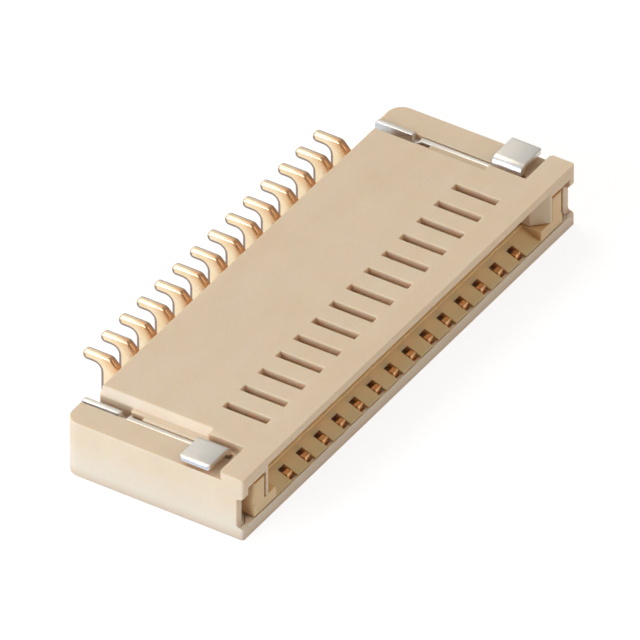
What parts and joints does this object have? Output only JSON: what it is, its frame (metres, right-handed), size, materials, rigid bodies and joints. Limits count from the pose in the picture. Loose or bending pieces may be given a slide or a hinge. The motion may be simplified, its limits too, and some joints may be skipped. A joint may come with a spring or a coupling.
{
  "type": "fpc connector",
  "caption": "Right-angle surface-mount FPC connector with sliding actuator, blanked fork terminals and fitting nails, shown solder side up.",
  "frame": {"origin": "middle of the bounding box on the cover face, which the part lies on, solder side up", "axes": "+X along the row of contacts, +Y from the cable mouth towards the solder tails, +Z from the cover face towards the board"},
  "size_m": [0.019, 0.0076, 0.0024],
  "materials": {
    "housing_plastic": "moulded glass-filled liquid crystal polymer, natural beige",
    "slider_plastic": "moulded glass-filled polymer, natural beige",
    "gold_plate": "gold-plated phosphor bronze, blanked edges",
    "tin_plate": "bright tin-plated phosphor bronze"
  },
  "bodies": {
    "connector_body": {"housing": "housing_plastic", "fitting_nail_left": "tin_plate", "fitting_nail_right": "tin_plate", "terminal_01": "gold_plate", "terminal_02": "gold_plate", "terminal_03": "gold_plate", "terminal_04": "gold_plate", "terminal_05": "gold_plate", "terminal_06": "gold_plate", "terminal_07": "gold_plate", "terminal_08": "gold_plate", "terminal_09": "gold_plate", "terminal_10": "gold_plate", "terminal_11": "gold_plate", "terminal_12": "gold_plate", "terminal_13": "gold_plate", "terminal_14": "gold_plate"},
    "slider_body": {"slider": "slider_plastic"}
  },
  "joints": [
    {"name": "slider_slide", "type": "slide", "parent": "connector_body", "child": "slider_body", "axis": [0, -1, 0], "range_m": [0, 0.0012]}
  ]
}
